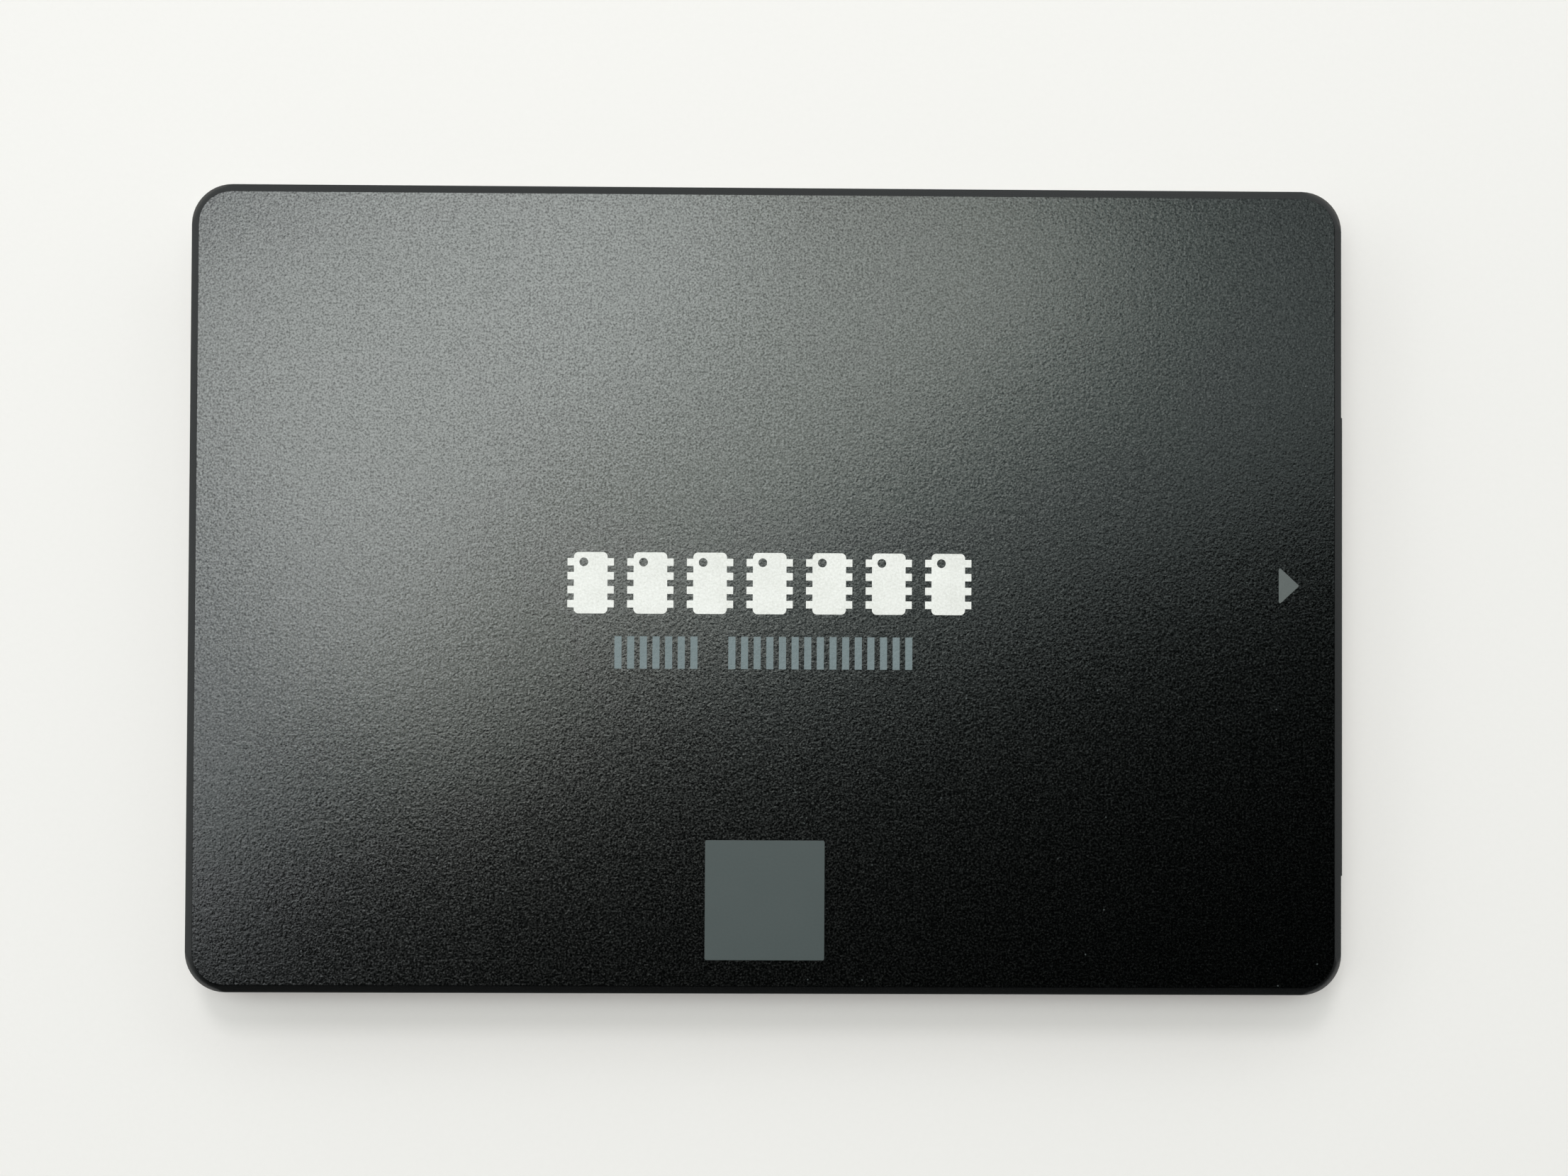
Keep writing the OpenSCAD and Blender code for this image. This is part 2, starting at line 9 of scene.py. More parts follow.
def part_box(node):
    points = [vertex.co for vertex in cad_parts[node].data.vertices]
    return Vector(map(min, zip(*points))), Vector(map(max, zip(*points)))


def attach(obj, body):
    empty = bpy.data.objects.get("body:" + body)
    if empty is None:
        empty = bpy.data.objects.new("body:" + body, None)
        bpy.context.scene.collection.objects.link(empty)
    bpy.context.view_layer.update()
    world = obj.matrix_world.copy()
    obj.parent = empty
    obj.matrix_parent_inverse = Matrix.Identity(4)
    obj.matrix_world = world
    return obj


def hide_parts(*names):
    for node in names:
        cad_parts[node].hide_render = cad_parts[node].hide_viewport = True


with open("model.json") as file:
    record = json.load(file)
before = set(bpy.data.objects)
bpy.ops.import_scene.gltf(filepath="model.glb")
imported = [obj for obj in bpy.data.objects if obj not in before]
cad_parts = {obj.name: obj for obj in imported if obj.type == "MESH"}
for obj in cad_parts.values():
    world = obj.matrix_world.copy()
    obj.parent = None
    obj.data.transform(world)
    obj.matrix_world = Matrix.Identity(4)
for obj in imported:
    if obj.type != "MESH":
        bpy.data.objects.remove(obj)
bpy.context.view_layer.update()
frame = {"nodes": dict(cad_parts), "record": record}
NODES = frame["nodes"]
MM = 0.001
SCENE = bpy.context.scene
WELD = 0.0008 * MM              # points nearer than this are one point
COPLANAR = math.radians(0.4)    # faces that meet at less than this are one face
DIMPLE = 0.05 * MM              # depth of a dimple over a screw, or at a chip's first pin


# ---- node helpers ----

class Tree:
    """A short way to write a material's nodes. Every texture is placed in metres, in the CAD's frame."""

    def __init__(self, name):
        self.mat = bpy.data.materials.new(name)
        self.mat.use_nodes = True
        self.nt = self.mat.node_tree
        self.nt.nodes.clear()
        out = self.node("ShaderNodeOutputMaterial")
        self.bsdf = self.node("ShaderNodeBsdfPrincipled")
        self.nt.links.new(self.bsdf.outputs["BSDF"], out.inputs["Surface"])
        self.coord = self.node("ShaderNodeTexCoord")
        self.pos = self.coord.outputs["Object"]

    def node(self, kind, **settings):
        n = self.nt.nodes.new(kind)
        for key, value in settings.items():
            setattr(n, key, value)
        return n

    def feed(self, socket, value):
        """Links a socket to the input, or sets a number, a vector or an RGB colour on it."""
        if isinstance(value, bpy.types.NodeSocket):
            self.nt.links.new(value, socket)
        elif isinstance(value, (tuple, list)) and len(value) == 3 and len(socket.default_value) == 4:
            socket.default_value = (*value, 1)
        else:
            socket.default_value = value

    def math(self, op, *values):
        n = self.node("ShaderNodeMath", operation=op)
        for socket, value in zip(n.inputs, values):
            self.feed(socket, value)
        return n.outputs[0]

    def ramp(self, value, lo, hi, out_lo=0.0, out_hi=1.0, smooth=True):
        """Maps lo..hi to out_lo..out_hi and holds it at both ends."""
        n = self.node("ShaderNodeMapRange", clamp=True)
        n.interpolation_type = "SMOOTHSTEP" if smooth else "LINEAR"
        self.feed(n.inputs["Value"], value)
        n.inputs["From Min"].default_value = lo
        n.inputs["From Max"].default_value = hi
        n.inputs["To Min"].default_value = out_lo
        n.inputs["To Max"].default_value = out_hi
        return n.outputs["Result"]

    def stretch(self, scale):
        """The place with each axis scaled; what is laid on it runs long where the scale is below 1."""
        n = self.node("ShaderNodeMapping")
        self.feed(n.inputs["Vector"], self.pos)
        n.inputs["Scale"].default_value = scale
        return n.outputs["Vector"]

    def noise(self, size, detail, rough=0.5, vector=None, distort=0.0):
        """Soft noise from 0 to 1, most of it near 0.5, with blobs of about a size."""
        n = self.node("ShaderNodeTexNoise")
        self.feed(n.inputs["Vector"], vector or self.pos)
        n.inputs["Scale"].default_value = 1 / size
        n.inputs["Detail"].default_value = detail
        n.inputs["Roughness"].default_value = rough
        n.inputs["Distortion"].default_value = distort
        return n.outputs["Fac"]

    def cells(self, size):
        """The distance from scattered points in X and Y, in parts of size."""
        n = self.node("ShaderNodeTexVoronoi", voronoi_dimensions="2D")
        self.feed(n.inputs["Vector"], self.pos)
        n.inputs["Scale"].default_value = 1 / size
        return n.outputs["Distance"]

    def mix(self, factor, a, b):
        n = self.node("ShaderNodeMix", data_type="RGBA")
        self.feed(n.inputs["Factor"], factor)
        self.feed(n.inputs["A"], a)
        self.feed(n.inputs["B"], b)
        return n.outputs["Result"]

    def split(self, vector=None):
        n = self.node("ShaderNodeSeparateXYZ")
        self.feed(n.inputs[0], vector or self.pos)
        return n.outputs

    def bump(self, height, distance, under=None):
        """The normal of a surface that rises by distance where height is 1; under is a bump it lies on."""
        n = self.node("ShaderNodeBump")
        n.inputs["Strength"].default_value = 1.0
        n.inputs["Distance"].default_value = distance
        self.feed(n.inputs["Height"], height)
        if under is not None:
            self.feed(n.inputs["Normal"], under)
        return n.outputs["Normal"]

    def dimples(self, spots):
        """A height that is 1, and falls to 0 in each round spot (x, y, radius)."""
        x, y, _ = self.split()
        height = 1.0
        for sx, sy, r in spots:
            dx = self.math("SUBTRACT", x, sx)
            dy = self.math("SUBTRACT", y, sy)
            square = self.math("ADD", self.math("MULTIPLY", dx, dx), self.math("MULTIPLY", dy, dy))
            wall = self.ramp(self.math("SQRT", square), 0.85 * r, 1.15 * r)
            height = self.math("MULTIPLY", wall, height)
        return height

    def set(self, **values):
        """Feeds the shader's inputs, with _ for each space in their names, and returns the material."""
        for key, value in values.items():
            self.feed(self.bsdf.inputs[key.replace("_", " ")], value)
        return self.mat


def grain_height(t):
    """The fine sand grain of the paint: rounded grains of 0.15 to 0.4 mm, of uneven height."""
    coarse = t.ramp(t.noise(0.3 * MM, 1.0, 0.5, distort=0.2), 0.25, 0.75, smooth=False)
    fine = t.ramp(t.noise(0.14 * MM, 1.0, 0.5), 0.25, 0.75, smooth=False)
    return t.math("MULTIPLY_ADD", fine, 0.5, coarse)


def paint(name):
    """Satin black paint: a sand grain and rare dust on the flat faces, less grain on the sides, and
    smooth chamfers."""
    grain_depth = 0.0042 * MM
    grit_size = 0.17 * MM
    dust_spacing = 5 * MM
    dust_colour = (0.1, 0.11, 0.11)
    t = Tree(name)
    normal = t.split(t.coord.outputs["Normal"])
    flat = t.math("ABSOLUTE", normal[2])    # 1 on level faces and 0 on upright ones
    on_flat = t.ramp(flat, 0.93, 0.999)
    on_side = t.ramp(flat, 0.25, 0.02, 0.0, 0.6)
    where = t.math("MAXIMUM", on_flat, on_side)
    grain = grain_height(t)
    grit = t.ramp(t.noise(grit_size, 1.0, 0.5), 0.28, 0.72, -0.5, 0.5, smooth=False)
    grit = t.math("MULTIPLY", grit, where)
    dust = t.ramp(t.cells(dust_spacing), 0.011, 0.017, 1.0, 0.0)
    rare = t.ramp(t.noise(6.3 * MM, 0.0), 0.57, 0.6)
    dust = t.math("MULTIPLY", t.math("MULTIPLY", dust, rare), on_flat)
    tone = t.mix(t.ramp(grain, 0.3, 1.2), (0.0003, 0.0005, 0.0005), (0.0010, 0.0013, 0.0012))
    return t.set(
        Base_Color=t.mix(dust, tone, dust_colour),
        Roughness=t.math("MULTIPLY_ADD", grit, 0.12, 0.168),
        IOR=1.6,
        Specular_IOR_Level=t.math("MULTIPLY_ADD", grit, 0.56, 0.515),
        Normal=t.bump(t.math("MULTIPLY", grain, where), grain_depth),
    )


def ink(name, low, high, rough, grain):
    """Pad-printed ink that shows a part, grain, of the full relief of what it lies on."""
    full_relief = 0.012 * MM
    t = Tree(name)
    mottle = t.noise(0.2 * MM, 2.0, 0.6)
    cloud = t.noise(3 * MM, 2.0, 0.5)
    shade = t.math("MULTIPLY_ADD", cloud, 0.3, t.math("MULTIPLY", mottle, 0.7))
    return t.set(
        Base_Color=t.mix(t.ramp(shade, 0.32, 0.68, smooth=False), low, high),
        Roughness=t.ramp(mottle, 0.3, 0.7, rough - 0.04, rough + 0.04),
        Normal=t.bump(grain_height(t), full_relief * grain),
    )


def plastic(name, low, high, rough, size=0.12, depth=0.004, spots=()):
    """Moulded plastic with a spark-eroded surface, its grain's size and depth in mm, faint flow marks,
    and a smooth dimple at each of the spots."""
    t = Tree(name)
    fine = t.noise(size * MM, 3.0, 0.6)
    flow = t.noise(2.2 * MM, 2.0, 0.5, t.stretch((1, 0.35, 1)))
    roughness = t.math("MULTIPLY_ADD", fine, 0.12, rough - 0.06)
    base = None
    if spots:
        outside = t.dimples(spots)
        base = t.bump(outside, DIMPLE)
        roughness = t.math("MULTIPLY", roughness, t.ramp(outside, 0, 1, 0.6))
    return t.set(
        Base_Color=t.mix(t.ramp(flow, 0.35, 0.7), low, high),
        Roughness=roughness,
        Normal=t.bump(fine, depth * MM, under=base),
    )


def metal(name, low, high, rough, brushed=(1, 1, 1)):
    """Plated or rolled metal with faint stains and a fine grain, drawn out where brushed is below 1."""
    grain_depth = 0.0015 * MM
    t = Tree(name)
    lines = t.noise(0.2 * MM, 4.0, 0.65, t.stretch(brushed))
    stain = t.noise(1.3 * MM, 3.0, 0.6)
    return t.set(
        Base_Color=t.mix(t.ramp(stain, 0.3, 0.7), low, high),
        Metallic=1.0,
        Roughness=t.math("MULTIPLY_ADD", lines, 0.18, rough - 0.09),
        Normal=t.bump(lines, grain_depth),
    )


def label_film(name, screws):
    """Matt film with a faint calendered texture, and a shallow dimple over each hidden screw."""
    t = Tree(name)
    web = t.noise(0.3 * MM, 3.0, 0.6, t.stretch((1, 0.4, 1)))
    base = t.bump(t.dimples(screws), DIMPLE)
    cloud = t.noise(7 * MM, 3.0, 0.55)
    return t.set(
        Base_Color=t.mix(t.ramp(cloud, 0.3, 0.7), (0.028, 0.029, 0.031), (0.036, 0.037, 0.039)),
        Roughness=t.math("MULTIPLY_ADD", web, 0.1, 0.42),
        Normal=t.bump(web, 0.003 * MM, under=base),
    )


def board_green(name):
    """Solder resist over copper: runs of tracks along X or Y, a plane round them, and plated vias, with
    painted shade in their drill holes.
    """
    track_pitch = 0.42 * MM
    run_size = 5.2 * MM
    plane_size = 3.1 * MM
    via_spacing = 1.9 * MM
    copper_height = 0.02 * MM
    t = Tree(name)
    x, y, _ = t.split()

    def tracks(across):
        step = t.math("FRACT", t.math("MULTIPLY", across, 1 / track_pitch))
        return t.ramp(t.math("ABSOLUTE", t.math("SUBTRACT", step, 0.5)), 0.17, 0.21, 1.0, 0.0)

    turn = t.ramp(t.noise(run_size, 0.0), 0.49, 0.51)
    along_y = t.math("MULTIPLY", tracks(x), turn)
    along_x = t.math("MULTIPLY", tracks(y), t.math("SUBTRACT", 1.0, turn))
    where = t.noise(plane_size, 1.0)
    plane = t.ramp(where, 0.4, 0.42, 1.0, 0.0)
    runs = t.math("MULTIPLY", t.math("ADD", along_y, along_x), t.ramp(where, 0.45, 0.46))
    copper = t.math("MAXIMUM", runs, plane)
    via = t.cells(via_spacing)
    ring = t.ramp(via, 0.12, 0.14, 1.0, 0.0)
    # painted shade: each via's drill hole has no depth, so the shade inside it is painted as a near-black
    # spot
    drill_hole_shade = t.ramp(via, 0.055, 0.075, 1.0, 0.0)
    weave = t.noise(0.5 * MM, 2.0, 0.5)
    tone = t.mix(copper, (0.01, 0.07, 0.03), (0.02, 0.13, 0.055))
    tone = t.mix(t.ramp(weave, 0.4, 0.9, 0, 0.2), tone, (0.04, 0.16, 0.08))
    tone = t.mix(ring, tone, (0.05, 0.26, 0.12))
    return t.set(
        # the drill holes' painted shade goes over the board's tone
        Base_Color=t.mix(drill_hole_shade, tone, (0.004, 0.01, 0.006)),
        Roughness=0.32,
        Coat_Weight=0.35,
        Coat_Roughness=0.15,
        Normal=t.bump(t.math("MAXIMUM", copper, ring), copper_height),
    )


def middle(node):
    """The X and Y of a node's middle."""
    low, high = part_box(node)
    return (low[0] + high[0]) / 2, (low[1] + high[1]) / 2


def pin_one(node):
    """The round mark in a chip's first corner: its place and radius."""
    low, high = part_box(node)
    side = min(high[0] - low[0], high[1] - low[1])
    inset = 0.06 * side + 0.4 * MM
    return low[0] + inset, high[1] - inset, 0.025 * side + 0.13 * MM


CASE_SCREWS = ("case_screw_front_left", "case_screw_front_right", "case_screw_rear")
CHIPS = (
    "dram_package", "flash_package_1", "flash_package_2", "flash_package_3",
    "power_chip", "voltage_regulator", "temperature_sensor",
)
SCREW_MARK = 1.7 * MM           # radius of the dimple that the label has over a screw head
SCREW_SPOTS = [(*middle(name), SCREW_MARK) for name in CASE_SCREWS]
PIN_SPOTS = [pin_one(name) for name in CHIPS]
MATERIALS = {
    "case_paint": paint("case_paint"),
    "screw_steel": metal("screw_steel", (0.42, 0.42, 0.43), (0.5, 0.5, 0.51), 0.34),
    "label_film": label_film("label_film", SCREW_SPOTS),
    "label_ink": ink("label_ink", (0.52, 0.53, 0.54), (0.6, 0.61, 0.61), 0.45, 0.1),
    "white_ink": ink("white_ink", (0.69, 0.69, 0.65), (0.91, 0.91, 0.88), 0.5, 0.9),
    "light_grey_ink": ink("light_grey_ink", (0.23, 0.285, 0.3), (0.31, 0.375, 0.395), 0.45, 0.7),
    "grey_ink": ink("grey_ink", (0.174, 0.19, 0.186), (0.2, 0.217, 0.212), 0.45, 0.2),
    "slate_ink": ink("slate_ink", (0.094, 0.116, 0.116), (0.104, 0.126, 0.126), 0.42, 0.12),
    "board": board_green("board"),
    "plug_plastic": plastic("plug_plastic", (0.008, 0.008, 0.0085), (0.013, 0.013, 0.0135), 0.48),
    "gold_plate": metal("gold_plate", (0.86, 0.6, 0.24), (0.95, 0.7, 0.33), 0.26, (0.25, 1, 1)),
    "tin_plate": metal("tin_plate", (0.62, 0.62, 0.61), (0.72, 0.72, 0.71), 0.36),
    "substrate": plastic("substrate", (0.015, 0.07, 0.035), (0.025, 0.1, 0.055), 0.4),
    "lid_metal": metal("lid_metal", (0.62, 0.62, 0.62), (0.66, 0.66, 0.66), 0.38, (1, 0.2, 1)),
    "solder": metal("solder", (0.58, 0.58, 0.59), (0.7, 0.7, 0.7), 0.3),
    "chip_mould": plastic(
        "chip_mould", (0.012, 0.012, 0.0125), (0.02, 0.02, 0.021), 0.6, 0.09, 0.006, PIN_SPOTS,
    ),
    "ferrite": plastic("ferrite", (0.035, 0.035, 0.038), (0.055, 0.055, 0.058), 0.55, 0.15, 0.008),
    "fuse_body": plastic("fuse_body", (0.03, 0.1, 0.06), (0.05, 0.14, 0.08), 0.4),
    "tantalum_body": plastic("tantalum_body", (0.55, 0.33, 0.04), (0.65, 0.42, 0.07), 0.4),
    "capacitor_ceramic": plastic("capacitor_ceramic", (0.25, 0.15, 0.07), (0.36, 0.23, 0.12), 0.45),
    "resistor_body": plastic("resistor_body", (0.01, 0.01, 0.012), (0.02, 0.02, 0.022), 0.35),
    "thermal_pad": plastic("thermal_pad", (0.16, 0.24, 0.34), (0.22, 0.31, 0.42), 0.7, 0.4, 0.02),
}
SLOT_OF = {s["node"]: s["material_slot"] for s in frame["record"]["subparts"]}
for name, obj in NODES.items():
    obj.data.materials.clear()
    obj.data.materials.append(MATERIALS[SLOT_OF[name]])


# ---- pieces ----

def finish_piece(obj, slot):
    """Gives a new piece the material of its slot and the drive's one body."""
    obj.data.materials.append(MATERIALS[slot])
    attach(obj, "root")


def new_object(name, bm, smooth_angle=40):
    """Turns a bmesh into an object that is smooth where faces meet at less than an angle in degrees."""
    mesh = bpy.data.meshes.new(name)
    bm.to_mesh(mesh)
    bm.free()
    for p in mesh.polygons:
        p.use_smooth = True
    mesh.set_sharp_from_angle(angle=math.radians(smooth_angle))
    obj = bpy.data.objects.new(name, mesh)
    SCENE.collection.objects.link(obj)
    return obj


def welded(node):
    """A copy of a node's mesh with its doubled points joined."""
    bm = bmesh.new()
    bm.from_mesh(NODES[node].data)
    bmesh.ops.remove_doubles(bm, verts=bm.verts[:], dist=WELD)
    return bm


def softened(node, name, width):
    """The node's own shape as a clean mesh with every sharp edge slightly rounded."""
    sharp_from = math.radians(24)
    shortest_edge = 0.0001 * MM
    bm = welded(node)
    bmesh.ops.dissolve_limit(
        bm, angle_limit=COPLANAR, use_dissolve_boundaries=False,
        verts=bm.verts[:], edges=bm.edges[:],
    )
    sharp = [e for e in bm.edges if len(e.link_faces) == 2 and e.calc_face_angle(0) > sharp_from]
    bmesh.ops.bevel(
        bm, geom=sharp, offset=width, offset_type="OFFSET", segments=2, profile=0.5,
        affect="EDGES", clamp_overlap=False, miter_outer="SHARP", miter_inner="SHARP",
    )
    bmesh.ops.dissolve_degenerate(bm, dist=shortest_edge, edges=bm.edges[:])
    obj = new_object(name, bm)
    shading = obj.modifiers.new("flat_faces", "WEIGHTED_NORMAL")
    shading.keep_sharp = True
    shading.weight = 80
    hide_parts(node)
    finish_piece(obj, SLOT_OF[node])


softened("top_cover", "cover_shell", 0.05 * MM)
softened("bottom_case", "tray_shell", 0.04 * MM)
softened("plug_housing", "plug_body", 0.04 * MM)


def eased(node, width):
    """Rounds the edges of a carried-over part with modifiers only, so its own mesh stays as packed."""
    obj = NODES[node]
    weld = obj.modifiers.new("weld", "WELD")
    weld.merge_threshold = WELD
    flat = obj.modifiers.new("flat_faces", "DECIMATE")
    flat.decimate_type = "DISSOLVE"
    flat.angle_limit = COPLANAR
    edge = obj.modifiers.new("edges", "BEVEL")
    edge.width = width
    edge.segments = 2
    edge.limit_method = "ANGLE"
    edge.angle_limit = math.radians(30)
    edge.use_clamp_overlap = True
    edge.harden_normals = True


for names, width_mm in (
    (("signal_contacts", "power_contacts"), 0.02),
    ((*CASE_SCREWS, "board_locks"), 0.02),
    (("controller_package", "dram_package", "flash_package_1", "flash_package_2", "flash_package_3"), 0.05),
    (("power_chip", "voltage_regulator", "temperature_sensor", "surge_diode", "crystal_oscillator"), 0.03),
    (("power_inductor_1", "power_inductor_2", "power_inductor_3"), 0.04),
    (("controller_lid", "bulk_capacitors"), 0.08),
    (("ceramic_capacitors", "chip_resistors", "input_fuse"), 0.03),
    (("controller_thermal_pad", "flash_thermal_pad"), 0.12),
):
    for name in names:
        eased(name, width_mm * MM)


def solids_of(node):
    """The box of each separate solid in a node's mesh, as lowest and highest corners."""
    bm = welded(node)
    left = set(bm.verts)
    boxes = []
    while left:
        group = [left.pop()]
        for v in group:
            near = {e.other_vert(v) for e in v.link_edges} & left
            left -= near
            group.extend(near)
        boxes.append([Vector(pick(v.co[k] for v in group) for k in range(3)) for pick in (min, max)])
    bm.free()
    return sorted(boxes, key=lambda box: tuple(box[0]))


def terminals(node, reach):
    """Plated end caps on each chip part in the node; reach is their part of its length."""
    skin = 0.012 * MM
    edge = 0.04 * MM
    bm = bmesh.new()
    for low, high in solids_of(node):
        size = high - low
        along = 0 if size[0] > size[1] else 1
        for end in (-1, 1):
            cap_low = low - Vector((skin, skin, 0))
            cap_high = high + Vector((skin, skin, skin))
            if end < 0:
                cap_high[along] = cap_low[along] + reach * size[along]
            else:
                cap_low[along] = cap_high[along] - reach * size[along]
            centre = Matrix.Translation((cap_low + cap_high) / 2)
            place = centre @ Matrix.Diagonal((*(cap_high - cap_low), 1))
            bmesh.ops.create_cube(bm, size=1.0, matrix=place)
    bmesh.ops.bevel(
        bm, geom=bm.edges[:], offset=edge, offset_type="OFFSET", segments=2, profile=0.5,
        affect="EDGES", clamp_overlap=True,
    )
    finish_piece(new_object(f"{node}_terminals", bm), "solder")


for name, reach in (
    ("ceramic_capacitors", 0.25), ("chip_resistors", 0.2), ("bulk_capacitors", 0.16),
    ("input_fuse", 0.18), ("surge_diode", 0.2),
):
    terminals(name, reach)


def thread(name, mouth, axis, depth):
    """The ridge of an M3 thread on a bore's wall, from just inside the mouth to the bottom."""
    bore = 1.5 * MM
    wall = bore + 0.02 * MM         # the ridge's root lies a little inside the metal
    pitch = 0.5 * MM
    tooth = 0.25 * MM
    half_root = 0.45 * pitch
    half_tip = 0.07 * pitch
    mouth_gap = 0.12 * MM
    bottom_gap = 0.04 * MM
    per_turn = 40
    run_out = 0.35 * per_turn       # steps over which the tooth rises and falls at its ends
    least_tooth = 0.03              # part of the tooth that is left at its ends
    turns = (depth - mouth_gap - bottom_gap - 2 * half_root) / pitch
    steps = int(turns * per_turn)
    out = Vector(axis).normalized()
    side = out.orthogonal().normalized()
    other = out.cross(side)
    bm = bmesh.new()
    rings = []
    for i in range(steps + 1):
        angle = 2 * math.pi * i / per_turn
        radial = side * math.cos(angle) + other * math.sin(angle)
        fade = min(1, i / run_out, (steps - i) / run_out)
        tip = bore - max(least_tooth, fade) * tooth
        down = mouth_gap + half_root + pitch * i / per_turn
        section = ((wall, half_root), (tip, half_tip), (tip, -half_tip), (wall, -half_root))
        rings.append([bm.verts.new(mouth + radial * r + out * (up - down)) for r, up in section])
    for ring, after in zip(rings, rings[1:]):
        for k in range(4):
            bm.faces.new((ring[k], ring[(k + 1) % 4], after[(k + 1) % 4], after[k]))
    bm.faces.new(rings[0][::-1])
    bm.faces.new(rings[-1])
    bmesh.ops.recalc_face_normals(bm, faces=bm.faces[:])
    finish_piece(new_object(name, bm, 30), "case_paint")


BOTTOM_BORE_DEPTH = 3 * MM
SIDE_BORE_DEPTH = 2.3 * MM
MOUNTS = {m["name"]: m for m in frame["record"]["mounts"]}
BOTTOM_HOLES = MOUNTS["bottom_mounting_holes"]
half_x = BOTTOM_HOLES["dims"]["spacing_x_mm"] / 2 * MM
half_y = BOTTOM_HOLES["dims"]["spacing_y_mm"] / 2 * MM
mid_x = BOTTOM_HOLES["pos_m"][0]
for i, (sx, sy) in enumerate([(-1, -1), (1, -1), (-1, 1), (1, 1)]):
    mouth = Vector((mid_x + sx * half_x, sy * half_y, 0))
    thread(f"bottom_thread_{i + 1}", mouth, (0, 0, -1), BOTTOM_BORE_DEPTH)
    side_holes = MOUNTS["side_holes_left" if sy > 0 else "side_holes_right"]["pos_m"]
    mouth = Vector((side_holes[0] + sx * half_x, side_holes[1], side_holes[2]))
    thread(f"side_thread_{i + 1}", mouth, (0, sy, 0), SIDE_BORE_DEPTH)


# ---- stage, light and camera ----

def paper():
    """Smooth pale card with a faint fibre."""
    t = Tree("paper_floor")
    fibre = t.noise(0.5 * MM, 3.0, 0.6)
    return t.set(
        Base_Color=t.mix(fibre, (0.914, 0.882, 0.864), (0.934, 0.902, 0.884)),
        Roughness=0.85,
        Specular_IOR_Level=0.2,
        Normal=t.bump(fibre, 0.01 * MM),
    )


FLOOR_SIZE = 16.0
bpy.ops.mesh.primitive_plane_add(size=FLOOR_SIZE, location=(0, 0, 0))
floor = bpy.context.object
floor.name = "floor"
floor.data.materials.append(paper())


def softbox(name, at, size, radiance, roll=0.0, colour=(1, 1, 1)):
    """A rectangular soft light that is aimed at the origin and as bright all over as radiance says.

    Places and sizes are in metres, and roll, in radians, turns the light about its own axis."""
    data = bpy.data.lights.new(name, "AREA")
    data.shape = "RECTANGLE"
    data.size, data.size_y = size
    data.energy = radiance * math.pi * size[0] * size[1]
    data.color = colour
    obj = bpy.data.objects.new(name, data)
    back = Vector(at).normalized()
    across = (-back).cross(Vector((0, 1, 0))).normalized()
    up = across.cross(-back)
    x = across * math.cos(roll) + up * math.sin(roll)
    y = -across * math.sin(roll) + up * math.cos(roll)
    obj.matrix_world = Matrix.Translation(at) @ Matrix((x, y, back)).transposed().to_4x4()
    SCENE.collection.objects.link(obj)
    return obj


def light_drive():
    """Three lights over the drive's far side, whose reflections make the glow on the black paint."""
    radiance = 0.755
    softbox("key_left", (-0.207, 0.095, 0.725), (0.236, 0.429), radiance, -0.683, (3.82, 4.07, 4.15))
    softbox("key_right", (-0.051, 0.111, 0.6), (0.207, 0.321), radiance, -0.964, (3.93, 4.14, 3.8))
    softbox("fill", (0.088, 0.091, 0.6), (0.288, 0.159), radiance, 0.351, (1.27, 1.5, 1.47))


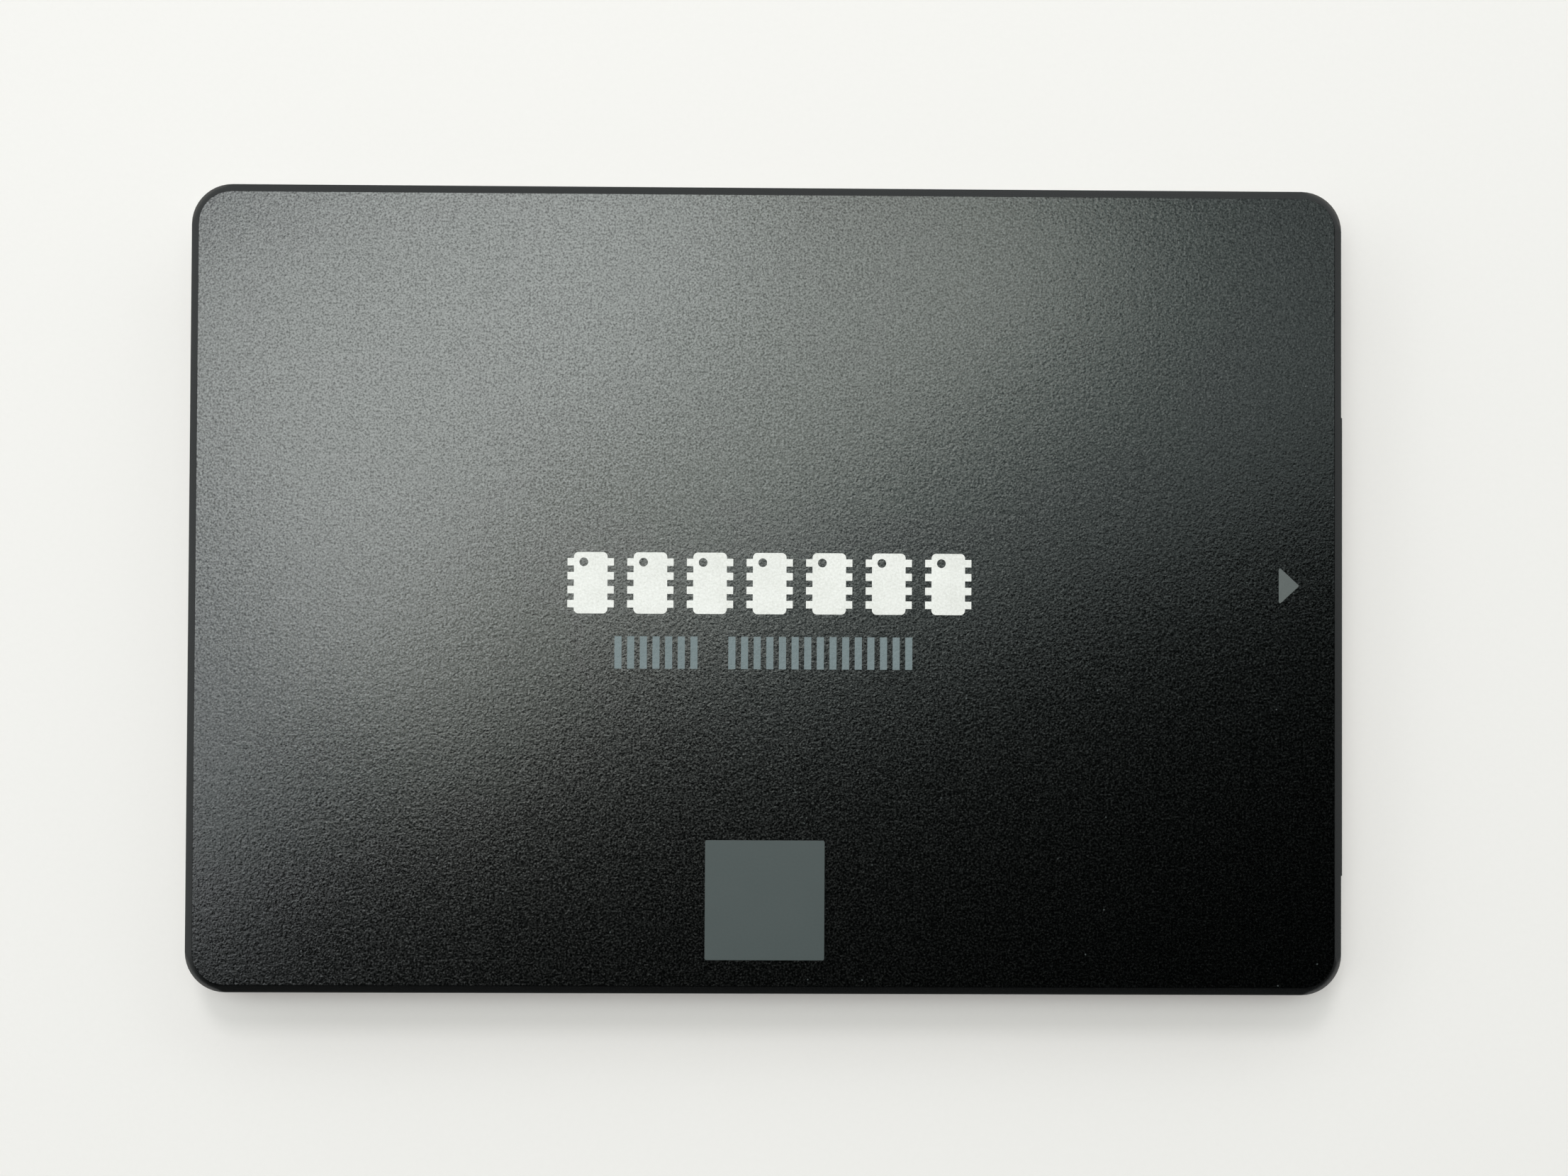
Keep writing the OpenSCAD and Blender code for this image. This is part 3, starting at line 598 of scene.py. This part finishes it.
def studio():
    """A room that is dark overhead and towards the front and pale behind, with a pale horizon and a
    bright band high on the back wall."""
    world = bpy.data.worlds.new("studio")
    SCENE.world = world
    world.use_nodes = True
    world.cycles.sampling_method = "NONE"
    nt = world.node_tree

    def op(kind, a, b):
        n = nt.nodes.new("ShaderNodeMath")
        n.operation = kind
        for socket, value in zip(n.inputs, (a, b)):
            if isinstance(value, (int, float)):
                socket.default_value = value
            else:
                nt.links.new(value, socket)
        return n.outputs[0]

    def ramp(value, lo, hi, out_lo, out_hi):
        n = nt.nodes.new("ShaderNodeMapRange")
        n.interpolation_type = "SMOOTHSTEP"
        nt.links.new(value, n.inputs["Value"])
        for key, v in zip(("From Min", "From Max", "To Min", "To Max"), (lo, hi, out_lo, out_hi)):
            n.inputs[key].default_value = v
        return n.outputs["Result"]

    split = nt.nodes.new("ShaderNodeSeparateXYZ")
    nt.links.new(nt.nodes.new("ShaderNodeTexCoord").outputs["Generated"], split.inputs[0])
    x, y, z = split.outputs         # the direction looked in, of length 1
    behind = op("ADD", op("MULTIPLY", x, -0.2), op("MULTIPLY", y, 0.98))
    walls = op("MULTIPLY", ramp(behind, -0.75, 0.4, 0.055, 0.66), ramp(z, 0.42, 0.62, 1.0, 0.0))
    corner = op("ADD", op("MULTIPLY", x, -0.35), op("MULTIPLY", y, 0.93))
    height = op("MULTIPLY", ramp(z, 0.4, 0.6, 0.0, 1.0), ramp(z, 0.6, 0.82, 1.0, 0.0))
    band = op("MULTIPLY", ramp(corner, -0.2, 0.55, 0.05, 1.4), height)
    horizon = ramp(z, 0.03, 0.1, 0.85, 0.0)
    glow = op("MAXIMUM", op("ADD", walls, band), horizon)
    background = nt.nodes["Background"]
    background.inputs["Color"].default_value = (0.94, 1, 1, 1)
    nt.links.new(glow, background.inputs["Strength"])


def light_table():
    """Two more lights, from straight above and from behind, for the floor and the white print only."""
    sun = bpy.data.lights.new("table_sun", "SUN")
    sun.energy = 0.68
    sun.color = (1.04, 1.0, 0.97)
    sun.angle = math.radians(6)
    overhead = bpy.data.objects.new("table_sun", sun)
    SCENE.collection.objects.link(overhead)
    behind = softbox("table_back", (-0.04, 0.31, 0.5), (0.12, 0.12), 13.4)
    lit = bpy.data.collections.new("lit_by_table_lights")
    for obj in (floor, NODES["emblem_mark"]):
        lit.objects.link(obj)
    for light in (overhead, behind):
        light.light_linking.receiver_collection = lit


def look_down():
    """The camera at the photograph's angle: over the drive, and a degree or so off straight down."""
    height = 0.20246
    aside = (-0.00115, -0.00365)
    tilt = Vector([math.radians(degrees) for degrees in (1.104, -0.762, 0.283)])
    data = bpy.data.cameras.new("camera")
    data.sensor_fit = "HORIZONTAL"
    data.sensor_width = 36
    data.lens = 52.0
    data.clip_start = 0.005
    camera = bpy.data.objects.new("camera", data)
    turned = Matrix.Rotation(tilt.length, 4, tilt.normalized())
    camera.matrix_world = Matrix.Translation((*aside, height)) @ turned
    SCENE.collection.objects.link(camera)
    bpy.context.scene.camera = camera


light_drive()
studio()
light_table()
look_down()
SCENE.view_settings.view_transform = "Standard"
SCENE.view_settings.look = "None"
